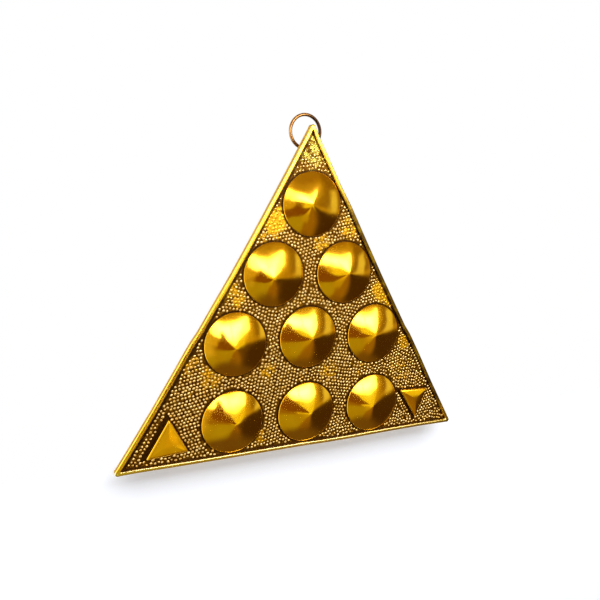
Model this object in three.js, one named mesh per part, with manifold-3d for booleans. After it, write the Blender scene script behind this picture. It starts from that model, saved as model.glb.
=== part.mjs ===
// A navagraha yantra: a triangular brass wall plaque with nine polished cone bosses in rows of
// one, two, three and three, two small raised triangles, and a wire ring to hang it by.
// Millimetres. X runs to the viewer's right, Y runs back towards the wall, Z runs up.
// The origin is where the nail touches the inside of the ring.
import * as THREE from 'three';
import { mergeVertices } from 'three/addons/utils/BufferGeometryUtils.js';
import Module from 'manifold-3d';

const wasm = await Module();
wasm.setup();

// Base plate: a triangle with a level foot and two like slopes, as tall as its rows of bosses and
// its border need. It is cut by hand, so each slope is drawn in a little towards its middle.
const plateThickness = 1.5;
const plateEdgeChamfer = 0.25;
const cornerRadius = 1.1;
const footAngle = 59.5;
const leftSlopeBow = 1.6;
const rightSlopeBow = 0.5;

// Border: one strip of flat wire bent round the plate, open by a hair where its ends meet.
const borderWidth = 1.6;
const borderHeight = 1.2;
const borderRounding = 0.5;
const borderInnerCornerRadius = 0.4;
const borderJointX = 25.5;
const borderJointGap = 0.3;

// Cone bosses, pressed from sheet, each with a flat rim that seats on the plate.
const bossDiameter = 25.2;
const bossHeight = 4.4;
const bossRimStep = 0.7;
const bossShoulder = 0.35;
const bossWall = 0.8;
const bossTipRoundness = 0.06;
const bossFlankBulge = 0.28;

// Clear gaps of the bosses: to the border, from one row to the next below it, and from one boss
// to the next beside it. All rows stand a little right of the plaque's middle line, and the boss
// in the middle of row three stands a little high.
const bossToSlopeStrip = 1.7;
const bossToFootStrip = 0.5;
const rowGapOneTwo = 2.1;
const rowGapTwoThree = 1.5;
const rowGapThreeFour = 5.9;
const gapInRowTwo = 6.3;
const gapInRowThree = 6.0;
const rowsShift = 0.9;
const middleBossRaise = 0.6;

// The two small raised triangles in the lower corners, cut and set by eye. Each has its own foot,
// height and lean of its apex, its own turn, and its own gaps to the border. The outer bosses of
// the lowest row stand clear of the right one.
const markHeight = 1.9;
const markBevel = 0.7;
const markBevelDrop = 0.5;
const markCornerRadius = 0.35;
const upMark = {
  name: 'triangle_up_left', foot: 16.2, tall: 14.2, lean: 1.6,
  turn: 3.5, towards: -1, footGap: 3.2, slopeGap: 6.3,
};
const downMark = {
  name: 'triangle_down_right', foot: 14.8, tall: 13.4, lean: -2.1,
  turn: 178.2, towards: 1, footGap: 3.95, slopeGap: 2.5,
};
const markToBoss = 2.3;

// Hanging ring of round wire, and the lug on the back that it passes through.
const ringOuterDiameter = 14.2;
const ringWire = 1.3;
const ringButtGap = 0.35;
const ringButtAngle = -62;
const ringCentreBelowApex = 3.2;
const lugWidth = 2.4;
const lugRunningGap = 0.3;
const lugWall = 0.95;
const lugStandOff = 4.5;
const lugFootDrop = 6.5;

// Faceting.
const cornerSteps = 6;
const slopeSteps = 8;
const roundingSteps = 3;
const bossSegments = 44;
const bossFlankSteps = 6;
const bossUnderSteps = 3;
const bossShoulderSteps = 2;
const ringSteps = 56;
const ringWireSides = 12;
const lugArcSteps = 18;

// Derived sizes.
const degree = Math.PI / 180;
const bossRadius = bossDiameter / 2;
const bossToSlopeEdge = borderWidth + bossToSlopeStrip + bossRadius;
const rowFour = borderWidth + bossToFootStrip + bossRadius;
const rowThree = rowFour + bossDiameter + rowGapThreeFour;
const rowTwo = rowThree + bossDiameter + rowGapTwoThree;
const rowOne = rowTwo + bossDiameter + rowGapOneTwo;
const slopeSin = Math.sin(footAngle * degree);
const slopeCos = Math.cos(footAngle * degree);
const triangleHeight = rowOne + bossToSlopeEdge / slopeCos;
const footReach = (triangleHeight * slopeCos) / slopeSin;
const ringWireRadius = ringWire / 2;
const ringMidRadius = ringOuterDiameter / 2 - ringWireRadius;
const ringCentreZ = triangleHeight - ringCentreBelowApex;
const hingeZ = ringCentreZ - ringMidRadius;
const hingeY = plateThickness + lugStandOff;
const nailZ = ringCentreZ + ringMidRadius - ringWireRadius;

const brass = (color, roughness) => new THREE.MeshStandardMaterial({ color, roughness, metalness: 1 });
const polishedBrass = brass(0xd9a11b, 0.16);
const borderBrass = brass(0xd8a62a, 0.28);
const fieldBrass = brass(0x8a6420, 0.45);
const wireCopperBrass = brass(0xa9713a, 0.3);

// Points of an arc in the plaque's own plane, angles in degrees counterclockwise from +X.
function arc(centreX, centreZ, radius, from, to, steps) {
  return Array.from({ length: steps + 1 }, (_, i) => {
    const angle = (from + ((to - from) * i) / steps) * degree;
    return new THREE.Vector2(centreX + radius * Math.cos(angle), centreZ + radius * Math.sin(angle));
  });
}

// The rounded corners of a triangle, moved in from its sides by inset, one list of points per
// corner. The triangle's points, and so the corners', run counterclockwise.
function roundedCorners(points, inset, radius) {
  return points.map((corner, i) => {
    const back = points[(i + 2) % 3].clone().sub(corner).normalize();
    const on = points[(i + 1) % 3].clone().sub(corner).normalize();
    const halfAngle = Math.acos(back.dot(on)) / 2;
    const inwards = back.add(on).normalize();
    const centre = corner.clone().addScaledVector(inwards, (inset + radius) / Math.sin(halfAngle));
    const outwards = Math.atan2(-inwards.y, -inwards.x) / degree;
    const sweep = 90 - halfAngle / degree;
    return arc(centre.x, centre.y, radius, outwards - sweep, outwards + sweep, cornerSteps);
  });
}

// Points on the way from one point to the next, drawn in to the left by up to bow.
function drawnIn(from, to, bow) {
  const left = new THREE.Vector2(from.y - to.y, to.x - from.x).normalize();
  return Array.from({ length: slopeSteps - 1 }, (_, i) => {
    const share = (i + 1) / slopeSteps;
    return from.clone().lerp(to, share).addScaledVector(left, 4 * bow * share * (1 - share));
  });
}

// The plaque's outline, moved in from its edge by inset, from the foot's right end round to its
// left end. The foot lies at Z = inset.
function plaqueOutline(inset, radius) {
  const points = [
    new THREE.Vector2(footReach, 0),
    new THREE.Vector2(0, triangleHeight),
    new THREE.Vector2(-footReach, 0),
  ];
  const [right, top, left] = roundedCorners(points, inset, radius);
  return [
    ...right,
    ...drawnIn(right.at(-1), top[0], rightSlopeBow),
    ...top,
    ...drawnIn(top.at(-1), left[0], leftSlopeBow),
    ...left,
  ];
}

// A closed solid through outlines of equal length, listed from the front to the back. Each
// outline runs counterclockwise as seen from the front, and its y is its depth.
function loft(levels) {
  const count = levels[0].outline.length;
  const positions = levels.flatMap(({ y, outline }) => outline.flatMap((p) => [p.x, y, p.y]));
  const index = [];
  const last = (levels.length - 1) * count;
  for (const [a, b, c] of THREE.ShapeUtils.triangulateShape(levels[0].outline, [])) index.push(a, b, c);
  for (const [a, b, c] of THREE.ShapeUtils.triangulateShape(levels.at(-1).outline, [])) {
    index.push(last + a, last + c, last + b);
  }
  for (let level = 0; level < levels.length - 1; level++) {
    for (let i = 0; i < count; i++) {
      const front = level * count + i;
      const frontNext = level * count + ((i + 1) % count);
      index.push(front, front + count, frontNext, frontNext, front + count, frontNext + count);
    }
  }
  const geometry = new THREE.BufferGeometry();
  geometry.setAttribute('position', new THREE.Float32BufferAttribute(positions, 3));
  geometry.setIndex(index);
  geometry.computeVertexNormals();
  return geometry;
}

function piece(name, geometry, material) {
  const mesh = new THREE.Mesh(geometry, material);
  mesh.name = name;
  return mesh;
}

// Base plate: its front face is the beaded field at Y = 0, and its back edge is broken.
function basePlate() {
  const outline = plaqueOutline(0, cornerRadius);
  const broken = plaqueOutline(plateEdgeChamfer, cornerRadius - plateEdgeChamfer);
  return loft([
    { y: 0, outline },
    { y: plateThickness - plateEdgeChamfer, outline },
    { y: plateThickness, outline: broken },
  ]);
}

// The border strip's outline: out along the plaque's edge and back along the inner side, from
// one end of the strip to the other. shrink draws both long sides in.
function stripOutline(shrink) {
  const outer = plaqueOutline(shrink, cornerRadius - shrink);
  const inner = plaqueOutline(borderWidth - shrink, borderInnerCornerRadius + shrink).reverse();
  const right = borderJointX + borderJointGap / 2;
  const left = borderJointX - borderJointGap / 2;
  return [
    new THREE.Vector2(right, shrink),
    ...outer,
    new THREE.Vector2(left, shrink),
    new THREE.Vector2(left, borderWidth - shrink),
    ...inner,
    new THREE.Vector2(right, borderWidth - shrink),
  ];
}

// Border strip: laid flat on the plate, with its two front edges rounded.
function borderStrip() {
  const rounded = Array.from({ length: roundingSteps + 1 }, (_, i) => {
    const turn = (i / roundingSteps) * 90 * degree;
    return {
      y: -borderHeight + borderRounding * (1 - Math.sin(turn)),
      outline: stripOutline(borderRounding * (1 - Math.cos(turn))),
    };
  });
  return loft([...rounded.reverse(), { y: 0, outline: stripOutline(0) }]);
}

// Height of a boss's flank over the plate at a share of its radius: a cone with its tip rounded
// off, which bulges into a dome towards the rim.
function flankHeight(share) {
  const blunt = Math.hypot(share, bossTipRoundness) - bossTipRoundness;
  const full = Math.hypot(1, bossTipRoundness) - bossTipRoundness;
  const fall = (1 - bossFlankBulge) * (blunt / full) + bossFlankBulge * share ** 3;
  return bossHeight - (bossHeight - bossRimStep) * fall;
}

// Half section of a boss, from its tip down the flank to the rim and back under to the tip.
function bossProfile() {
  const shareAt = (i, steps) => (i / steps) ** 1.4;
  const innerRadius = bossRadius - bossWall;
  const shoulderRadius = bossRadius - bossShoulder;
  const under = Array.from({ length: bossUnderSteps + 1 }, (_, i) => {
    const share = shareAt(i, bossUnderSteps);
    const roof = flankHeight((share * innerRadius) / bossRadius) - bossWall;
    return new THREE.Vector2(share * innerRadius, -Math.max(roof, bossShoulder / 2));
  });
  const shoulder = arc(shoulderRadius, -flankHeight(1) + bossShoulder, bossShoulder, 0, -75, bossShoulderSteps);
  const flank = Array.from({ length: bossFlankSteps }, (_, i) => {
    const share = shareAt(bossFlankSteps - 1 - i, bossFlankSteps);
    return new THREE.Vector2(share * shoulderRadius, -flankHeight(share));
  });
  const rim = [new THREE.Vector2(innerRadius, 0), new THREE.Vector2(bossRadius, 0)];
  return [...under, ...rim, ...shoulder, ...flank].reverse();
}

// A small triangle's outline in its place in a lower corner, drawn in by inset. Its gaps to the
// foot strip and to the slope's strip are measured from its own turned corners.
function markOutline({ foot, tall, lean, turn, towards, footGap, slopeGap }, inset) {
  const middle = new THREE.Vector2(lean / 3, tall / 3);
  const points = [
    new THREE.Vector2(foot / 2, 0),
    new THREE.Vector2(lean, tall),
    new THREE.Vector2(-foot / 2, 0),
  ].map((p) => p.rotateAround(middle, turn * degree).sub(middle));
  const full = roundedCorners(points, 0, markCornerRadius).flat();
  const toFootEdge = borderWidth + footGap + Math.max(...full.map((p) => -p.y));
  const toSlopeEdge = borderWidth + slopeGap
    + Math.max(...full.map((p) => towards * p.x * slopeSin + p.y * slopeCos));
  const place = new THREE.Vector2(footReach - (toSlopeEdge + toFootEdge * slopeCos) / slopeSin, toFootEdge);
  place.x *= towards;
  return roundedCorners(points, inset, markCornerRadius).flat().map((p) => p.add(place));
}

// How far out the lowest row's outer bosses stand, for a clear gap to the right small triangle.
function footRowReach() {
  const apart = bossRadius + markToBoss;
  const near = markOutline(downMark, 0).filter((p) => Math.abs(p.y - rowFour) < apart);
  return Math.min(...near.map((p) => p.x - Math.sqrt(apart ** 2 - (p.y - rowFour) ** 2))) - rowsShift;
}

// Each boss's name, its place to the right of the rows' middle line and its height over the foot.
function bossPlaces() {
  const rowTwoReach = (bossDiameter + gapInRowTwo) / 2;
  const rowThreeReach = bossDiameter + gapInRowThree;
  return [
    ['boss_row1', 0, rowOne],
    ['boss_row2_left', -rowTwoReach, rowTwo],
    ['boss_row2_right', rowTwoReach, rowTwo],
    ['boss_row3_left', -rowThreeReach, rowThree],
    ['boss_row3_middle', 0, rowThree + middleBossRaise],
    ['boss_row3_right', rowThreeReach, rowThree],
    ['boss_row4_left', -footRowReach(), rowFour],
    ['boss_row4_middle', 0, rowFour],
    ['boss_row4_right', footRowReach(), rowFour],
  ];
}

function bosses() {
  const shape = new THREE.LatheGeometry(bossProfile(), bossSegments);
  return bossPlaces().map(([name, x, z]) => {
    const mesh = piece(name, shape, polishedBrass);
    mesh.position.set(rowsShift + x, 0, z);
    return mesh;
  });
}

// A small raised triangle with a broad bevel round its flat top, point up at turn 0.
function raisedMark(mark) {
  const outline = markOutline(mark, 0);
  const geometry = loft([
    { y: -markHeight, outline: markOutline(mark, markBevel) },
    { y: -markHeight + markBevelDrop, outline },
    { y: 0, outline },
  ]);
  return piece(mark.name, geometry, polishedBrass);
}

// A closed geometry as a solid for cutting, and a cut solid as a geometry again.
function toSolid(geometry) {
  const bare = geometry.clone();
  bare.deleteAttribute('normal');
  bare.deleteAttribute('uv');
  const merged = mergeVertices(bare, 1e-5);
  return new wasm.Manifold(new wasm.Mesh({
    numProp: 3,
    vertProperties: new Float32Array(merged.attributes.position.array),
    triVerts: new Uint32Array(merged.index.array),
  }));
}

function toGeometry(solid) {
  const mesh = solid.getMesh();
  const geometry = new THREE.BufferGeometry();
  geometry.setAttribute('position', new THREE.BufferAttribute(mesh.vertProperties, 3));
  geometry.setIndex(new THREE.BufferAttribute(mesh.triVerts, 1));
  geometry.computeVertexNormals();
  return geometry;
}

// Extrudes an outline given as (Y, Z) along X, centred on X = 0.
function alongX(points, width) {
  const slab = new THREE.ExtrudeGeometry(new THREE.Shape(points), { depth: width, bevelEnabled: false });
  slab.translate(0, 0, -width / 2);
  const swap = new THREE.Matrix4().makeBasis(
    new THREE.Vector3(0, 1, 0), new THREE.Vector3(0, 0, 1), new THREE.Vector3(1, 0, 0));
  return slab.applyMatrix4(swap);
}

// Hanging lug: an upright ear on the back of the plate, drilled across for the ring's wire.
function hangingLug() {
  const holeRadius = ringWireRadius + lugRunningGap;
  const noseRadius = holeRadius + lugWall;
  const ear = [
    new THREE.Vector2(plateThickness, hingeZ - lugFootDrop),
    ...arc(hingeY, hingeZ, noseRadius, -50, 90, lugArcSteps),
    new THREE.Vector2(plateThickness, hingeZ + noseRadius),
  ];
  const drill = arc(hingeY, hingeZ, holeRadius, 0, 360, lugArcSteps).slice(0, -1);
  const hole = toSolid(alongX(drill, 2 * lugWidth));
  return toGeometry(toSolid(alongX(ear, lugWidth)).subtract(hole));
}

// The middle line of the ring's wire, from one cut end round to the other.
class RingLine extends THREE.Curve {
  getPoint(t, target = new THREE.Vector3()) {
    const halfGap = ringButtGap / 2 / ringMidRadius;
    const angle = ringButtAngle * degree + halfGap + t * (2 * Math.PI - 2 * halfGap);
    return target.set(ringMidRadius * Math.cos(angle), hingeY, ringCentreZ + ringMidRadius * Math.sin(angle));
  }
}

function hangingRing() {
  const section = new THREE.Shape(arc(0, 0, ringWireRadius, 0, 360, ringWireSides).slice(0, -1));
  return new THREE.ExtrudeGeometry(section, { steps: ringSteps, extrudePath: new RingLine() });
}

const plaque = new THREE.Group();
plaque.add(
  piece('base_plate', basePlate(), fieldBrass),
  piece('border_strip', borderStrip(), borderBrass),
  ...bosses(),
  raisedMark(upMark),
  raisedMark(downMark),
  piece('hanging_lug', hangingLug(), borderBrass),
  piece('hanging_ring', hangingRing(), wireCopperBrass),
);
plaque.position.set(0, -hingeY, -nailZ);

const group = new THREE.Group();
group.add(plaque);

export default group;
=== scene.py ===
# %% [markdown]
# A navagraha yantra is a triangular brass plaque with nine polished cone bosses on a field of punched
# beads, inside a raised border, and hangs from a wire ring. Its sizes and its joint come from a fixed
# frame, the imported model, which is loaded first, and the looks are built round it. Every length is
# in metres, X runs to the right, Y runs back and Z runs up.

# %% Load the frame
import math
from functools import reduce
import bpy
import numpy as np
from mathutils import Matrix, Vector


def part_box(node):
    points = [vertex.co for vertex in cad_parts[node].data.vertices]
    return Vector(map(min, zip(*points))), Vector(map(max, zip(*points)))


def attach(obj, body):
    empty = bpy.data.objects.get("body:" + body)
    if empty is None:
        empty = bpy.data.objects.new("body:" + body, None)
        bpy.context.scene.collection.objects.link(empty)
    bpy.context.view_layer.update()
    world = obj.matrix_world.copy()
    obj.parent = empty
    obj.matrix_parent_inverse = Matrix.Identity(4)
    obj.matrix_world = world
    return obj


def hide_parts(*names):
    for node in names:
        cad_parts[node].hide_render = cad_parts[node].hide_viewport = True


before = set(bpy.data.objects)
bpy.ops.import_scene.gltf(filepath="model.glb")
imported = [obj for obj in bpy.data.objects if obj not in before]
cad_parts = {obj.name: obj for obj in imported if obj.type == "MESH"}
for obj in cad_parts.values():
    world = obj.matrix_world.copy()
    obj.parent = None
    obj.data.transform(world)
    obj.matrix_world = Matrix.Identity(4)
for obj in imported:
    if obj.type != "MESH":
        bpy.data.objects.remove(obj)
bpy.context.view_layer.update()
plate_low, plate_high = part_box("base_plate")
strip_low, strip_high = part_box("border_strip")
print("frame nodes:", len(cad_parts), "plate width", round(plate_high.x - plate_low.x, 4))

# %% [markdown]
# The plaque is a triangle with a level foot and two like slopes. Its size is read from the plate's
# box, so that the looks fit the frame. The foot's round corners hide how far its sharp corners would
# reach, so that is added back.

# %% Sizes of the plaque
MM = 0.001
FOOT_ANGLE = math.radians(59.5)
CORNER_RADIUS = 1.1 * MM
STRIP_WIDTH = 1.6 * MM
STRIP_JOINT_X = 25.5 * MM
STRIP_JOINT_GAP = 0.3 * MM
FIELD_Y = plate_low.y
PLATE_BACK_Y = plate_high.y
FOOT_Z = plate_low.z
FOOT_REACH = plate_high.x + CORNER_RADIUS * (1 / math.tan(FOOT_ANGLE / 2) - 1)
HEIGHT = FOOT_REACH * math.tan(FOOT_ANGLE)
CENTRE = Vector((0.0, FIELD_Y, FOOT_Z + HEIGHT / 3))
BOSS_NODES = sorted(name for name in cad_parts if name.startswith("boss_"))
MARK_NODES = ("triangle_up_left", "triangle_down_right")
rng = np.random.default_rng(9)
print("foot and height in mm:", round(2 * FOOT_REACH / MM, 1), round(HEIGHT / MM, 1))
print("bosses:", len(BOSS_NODES))

# %% [markdown]
# The camera stands a quarter of a metre away, to the left and a little above the middle, and looks
# at the plaque with a moderately wide lens. That is close, so the near corner grows and the far
# corner shrinks. Its turn is built from three directions at right angles, right, up and back,
# because three angles would depend on their order.

# %% Camera
CAMERA_SPOT = Vector((-0.1070, -0.2190, -0.0328))
CAMERA_AIM = Vector((0.4323, 0.8869, -0.1628)).normalized()
CAMERA_UP = Vector((0.0459, 0.1587, 0.9863))
right = CAMERA_AIM.cross(CAMERA_UP).normalized()
turn = Matrix((right, right.cross(CAMERA_AIM), -CAMERA_AIM)).transposed()
bpy.ops.object.camera_add(location=CAMERA_SPOT, rotation=turn.to_euler())
camera = bpy.context.object
camera.name = "camera"
camera.data.sensor_width = 36
camera.data.lens = 36
camera.data.clip_start = 0.01
bpy.context.scene.camera = camera
print("camera looks along", tuple(round(c, 3) for c in CAMERA_AIM))

# %% [markdown]
# Shader maths is easier to read as sums than as boxes and wires. A Signal holds one output socket,
# and the operators on it add the Math nodes, so 1 - mask works. Wiring adds any other node from its
# type, its settings and the values of its sockets, and a Finish is the wiring of one material.

# %% Signals and finishes
class Signal:
    def __init__(self, wiring, socket):
        self.wiring = wiring
        self.socket = socket

    def maths(self, operation, *values):
        return self.wiring.add("ShaderNodeMath", {"operation": operation}, values)

    def __add__(self, other):
        return self.maths("ADD", self, other)

    def __sub__(self, other):
        return self.maths("SUBTRACT", self, other)

    def __rsub__(self, other):
        return self.maths("SUBTRACT", other, self)

    def __mul__(self, other):
        return self.maths("MULTIPLY", self, other)

    def __truediv__(self, other):
        return self.maths("DIVIDE", self, other)

    def __pow__(self, power):
        return self.maths("POWER", self, power)

    def __neg__(self):
        return self.maths("MULTIPLY", self, -1)

    def __abs__(self):
        return self.maths("ABSOLUTE", self)

    def most(self, other):
        return self.maths("MAXIMUM", self, other)

    def least(self, other):
        return self.maths("MINIMUM", self, other)

    def step(self, low, high):
        """0 at low, 1 at high, smooth between. low may be the larger of the two."""
        ends = (high, low, 1.0, 0.0) if low > high else (low, high, 0.0, 1.0)
        settings = {"interpolation_type": "SMOOTHSTEP"}
        return self.wiring.add("ShaderNodeMapRange", settings, (self, *ends))

    def within(self, low, high, soft):
        """1 between low and high, falling to 0 over a soft edge on both sides."""
        return self.step(low - soft, low + soft) * self.step(high + soft, high - soft)

    __radd__ = __add__
    __rmul__ = __mul__


class Wiring:
    def __init__(self, tree):
        self.tree = tree

    def add(self, kind, settings, values=(), output=0):
        """A new node. values go to its sockets in order, or by name or number from a dict."""
        node = self.tree.nodes.new(kind)
        for key, value in settings.items():
            setattr(node, key, value)
        pairs = values.items() if isinstance(values, dict) else enumerate(values)
        for key, value in pairs:
            self.feed(node.inputs[key], value)
        return Signal(self, node.outputs[output])

    def feed(self, socket, value):
        if isinstance(value, Signal):
            self.tree.links.new(value.socket, socket)
        elif isinstance(value, tuple) and len(value) == 3 and socket.type == "RGBA":
            socket.default_value = (*value, 1.0)
        else:
            socket.default_value = value

    def mix(self, factor, first, second):
        """The first colour at 0, the second at 1. The node takes and gives colours at 6, 7 and 2."""
        values = {0: factor, 6: first, 7: second}
        return self.add("ShaderNodeMix", {"data_type": "RGBA"}, values, 2)

    def seen_directly(self):
        """1 for camera, mirror and glass rays, and 0 for the light that a surface receives."""
        seen = self.add("ShaderNodeLightPath", {}, (), "Is Camera Ray")
        outputs = seen.socket.node.outputs
        for ray in ("Is Glossy Ray", "Is Transmission Ray"):
            seen = seen.most(Signal(self, outputs[ray]))
        return seen


class Finish(Wiring):
    def __init__(self, name):
        self.material = bpy.data.materials.new(name)
        self.material.use_nodes = True
        super().__init__(self.material.node_tree)
        self.shader = self.tree.nodes["Principled BSDF"]
        self.place = self.add("ShaderNodeTexCoord", {}, (), "Object")

    def axes(self):
        """Where a point of the piece is, as three signals."""
        split = self.add("ShaderNodeSeparateXYZ", {}, (self.place,))
        outputs = split.socket.node.outputs
        return [Signal(self, outputs[i]) for i in range(3)]

    def cloud(self, size, detail=2.0, rough=0.5):
        """Noise about 0.5, with lumps about size across."""
        values = {"Vector": self.place, "Scale": 1 / size, "Detail": detail, "Roughness": rough}
        return self.add("ShaderNodeTexNoise", {"noise_dimensions": "3D"}, values)

    def mark(self, name):
        """A number stored on each point of the piece, such as how near the rim it is."""
        return self.add("ShaderNodeAttribute", {"attribute_name": name}, (), "Fac")

    def bump(self, height, depth):
        """A height of 0 to 1 as a relief so deep, for the finish's normal."""
        values = {"Height": height, "Distance": depth, "Strength": 1.0}
        return self.add("ShaderNodeBump", {}, values)

    def wear(self, **sockets):
        """Feeds the shader by short names, and gives the finished material."""
        names = {"colour": "Base Color", "rough": "Roughness", "metal": "Metallic", "normal": "Normal"}
        for key, value in sockets.items():
            self.feed(self.shader.inputs[names[key]], value)
        return self.material

    def glow(self, colour):
        """Makes the material glow in this colour alone. It isn't treated as one of the lamps."""
        light = self.add("ShaderNodeEmission", {}, {"Color": colour, "Strength": 1.0})
        self.feed(self.tree.nodes["Material Output"].inputs["Surface"], light)
        self.material.cycles.emission_sampling = "NONE"
        return self.material


print("shader helpers ready")

# %% [markdown]
# Operators act on all that is selected, so each piece starts from an empty selection, and a finished
# piece's place goes into its mesh, so that its object sits at the origin. Two ways of making a shape
# serve most of this plaque: a section drawn as a line is spun round an axis, and a flat grid is laid
# over a shape point by point, where a formula says where each point belongs.

# %% Modelling helpers
def clear_selection():
    bpy.ops.object.select_all(action="DESELECT")


def take_up(piece):
    """Selects one piece and nothing else."""
    clear_selection()
    piece.select_set(True)
    bpy.context.view_layer.objects.active = piece


def settle(piece, name, material, body, smooth=40):
    """Names a piece, puts its place into its mesh, and hangs it on the frame."""
    take_up(piece)
    bpy.ops.object.transform_apply(location=True, rotation=True, scale=True)
    bpy.ops.object.shade_smooth_by_angle(angle=math.radians(smooth))
    piece.name = name
    piece.data.materials.append(material)
    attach(piece, body)
    return piece


def drawn_line(points):
    """A plane merged to one point, then drawn out point by point into a line. Left in edit mode."""
    clear_selection()
    bpy.ops.mesh.primitive_plane_add(size=MM, location=points[0])
    bpy.ops.object.transform_apply(location=True)
    bpy.ops.object.mode_set(mode="EDIT")
    bpy.ops.mesh.select_all(action="SELECT")
    bpy.ops.mesh.merge(type="CENTER")
    for start, end in zip(points, points[1:]):
        bpy.ops.mesh.extrude_region_move(TRANSFORM_OT_translate={"value": end - start})
    return bpy.context.object


def spun(points, steps, angle, centre, axis):
    """A line through the points, spun round an axis into a closed skin."""
    piece = drawn_line(points)
    bpy.ops.mesh.select_all(action="SELECT")
    bpy.ops.mesh.spin(steps=steps, angle=angle, center=centre, axis=axis)
    bpy.ops.object.mode_set(mode="OBJECT")
    close_up(piece)
    return piece


def laid_grid(rows):
    """A grid with its points laid where rows says, equal rows of (x, y, z), and noted by row."""
    rows = np.asarray(rows)
    along, across, _ = rows.shape
    clear_selection()
    bpy.ops.mesh.primitive_grid_add(x_subdivisions=across - 1, y_subdivisions=along - 1, size=2)
    piece = bpy.context.object
    flat = points_of(piece)
    column = np.rint((flat[:, 0] + 1) / 2 * (across - 1)).astype(int)
    row = np.rint((flat[:, 1] + 1) / 2 * (along - 1)).astype(int)
    move_points(piece, rows[row, column])
    note(piece, "row", row / (along - 1))
    return piece


def meshed(name, points, faces):
    """A piece made straight from its points and faces, for what no operator makes."""
    mesh = bpy.data.meshes.new(name)
    mesh.from_pydata(points, [], faces)
    piece = bpy.data.objects.new(name, mesh)
    bpy.context.scene.collection.objects.link(piece)
    return piece


def close_up(piece):
    """Merges the seams, fills what is still open and turns every face outwards."""
    take_up(piece)
    bpy.ops.object.mode_set(mode="EDIT")
    bpy.ops.mesh.select_all(action="SELECT")
    bpy.ops.mesh.remove_doubles(threshold=1e-7)
    bpy.ops.mesh.fill_holes(sides=0)
    bpy.ops.mesh.select_all(action="SELECT")
    bpy.ops.mesh.normals_make_consistent(inside=False)
    bpy.ops.object.mode_set(mode="OBJECT")


def note(piece, name, values):
    """Stores one number per point, for a material to read."""
    layer = piece.data.attributes.new(name, "FLOAT", "POINT")
    layer.data.foreach_set("value", np.asarray(values, dtype=np.float32))


def points_of(piece):
    """The places of a piece's points, a row of x, y and z for each."""
    flat = np.zeros(len(piece.data.vertices) * 3)
    piece.data.vertices.foreach_get("co", flat)
    return flat.reshape(-1, 3)


def move_points(piece, places):
    piece.data.vertices.foreach_set("co", np.asarray(places).ravel())
    piece.data.update()


print("modelling helpers ready")

# %% [markdown]
# The plaque was cut and bent by hand, so its sides aren't straight. Noise could shake them, but each
# real one has its own few kinks, so it gets a soft bow and a short list of them. All that follows an
# edge, the plate, the border and the first beads, asks one function how far it is drawn in.

# %% Hand-bent sides
CORNERS = (Vector((FOOT_REACH, 0)), Vector((0, HEIGHT)), Vector((-FOOT_REACH, 0)))
BOWS = (0.5 * MM, 1.6 * MM, 0.0)
# How many millimetres each side stands out at shares of its way: right slope, left slope, foot.
KINKS = (
    ((0, 0), (0.16, 0.05), (0.27, 0.4), (0.34, 0.4), (0.37, -0.1), (0.55, -0.15), (0.76, 0.15), (0.82, -0.3),
     (0.95, -0.3), (1, 0)),
    ((0, 0), (0.2, -0.05), (0.45, -0.1), (0.52, 0.07), (0.6, 0.06), (0.63, 0.42), (0.66, 0.45), (0.72, 0.3),
     (0.82, 0.1), (1, 0)),
    ((0, 0), (0.05, -0.15), (0.2, 0.05), (0.5, 0.0), (0.58, 0.2), (0.66, 0.15), (0.75, -0.1), (0.88, -0.25),
     (1, 0)),
)


def drawn_in(side, share):
    """How far a side is drawn in towards the middle at shares of its way from corner to corner."""
    at, out = np.transpose(KINKS[side])
    return 4 * BOWS[side] * share * (1 - share) - np.interp(share, at, out) * MM


def edge_of(corners, side):
    """A side's first corner, its direction, the direction to its inside, and its length."""
    start, end = corners[side], corners[(side + 1) % 3]
    along = (end - start).normalized()
    return start, along, Vector((-along.y, along.x)), (end - start).length


print("sides:", [round(edge_of(CORNERS, side)[3] / MM, 1) for side in range(3)])

# %% [markdown]
# The plate and the border share one outline, moved in from the plaque's edge by more or less. It
# starts at the border's joint in the foot, runs round counterclockwise as seen from the front, and
# comes back to the joint's other side.

# %% Outline
CORNER_CUTS = 8
SIDE_CUTS = 104


def corner_arc(corners, corner, inset, radius):
    """Points of one round corner, as (x, height over the foot)."""
    before = edge_of(corners, (corner + 2) % 3)[1]
    after = edge_of(corners, corner)[1]
    half = math.acos(-before.dot(after)) / 2
    inwards = (after - before).normalized()
    centre = corners[corner] + inwards * (inset + radius) / math.sin(half)
    middle = math.atan2(-inwards.y, -inwards.x)
    sweep = math.pi / 2 - half
    angles = [middle - sweep + 2 * sweep * i / CORNER_CUTS for i in range(CORNER_CUTS + 1)]
    return [centre + radius * Vector((math.cos(a), math.sin(a))) for a in angles]


def side_points(side, first, last, cuts):
    """Points between two places on a side, drawn in by its bow and kinks."""
    start, along, inside, length = edge_of(CORNERS, side)
    points = []
    for i in range(1, cuts):
        straight = first.lerp(last, i / cuts)
        share = (straight - start).dot(along) / length
        points.append(straight + inside * float(drawn_in(side, share)))
    return points


def outline(inset, radius, gap=STRIP_JOINT_GAP):
    """The plaque's outline, moved in by inset, with round corners and an opening at the joint."""
    right, top, left = [corner_arc(CORNERS, corner, inset, radius) for corner in range(3)]
    share = (STRIP_JOINT_X + FOOT_REACH) / (2 * FOOT_REACH)
    level = inset + float(drawn_in(2, share))
    after, before = Vector((STRIP_JOINT_X + gap / 2, inset)), Vector((STRIP_JOINT_X - gap / 2, inset))
    return [
        Vector((after.x, level)),
        *side_points(2, after, right[0], SIDE_CUTS // 3), *right,
        *side_points(0, right[-1], top[0], SIDE_CUTS), *top,
        *side_points(1, top[-1], left[0], SIDE_CUTS), *left,
        *side_points(2, left[-1], before, SIDE_CUTS * 2 // 3),
        Vector((before.x, level)),
    ]


print("outline points:", len(outline(0, CORNER_RADIUS)))

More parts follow.
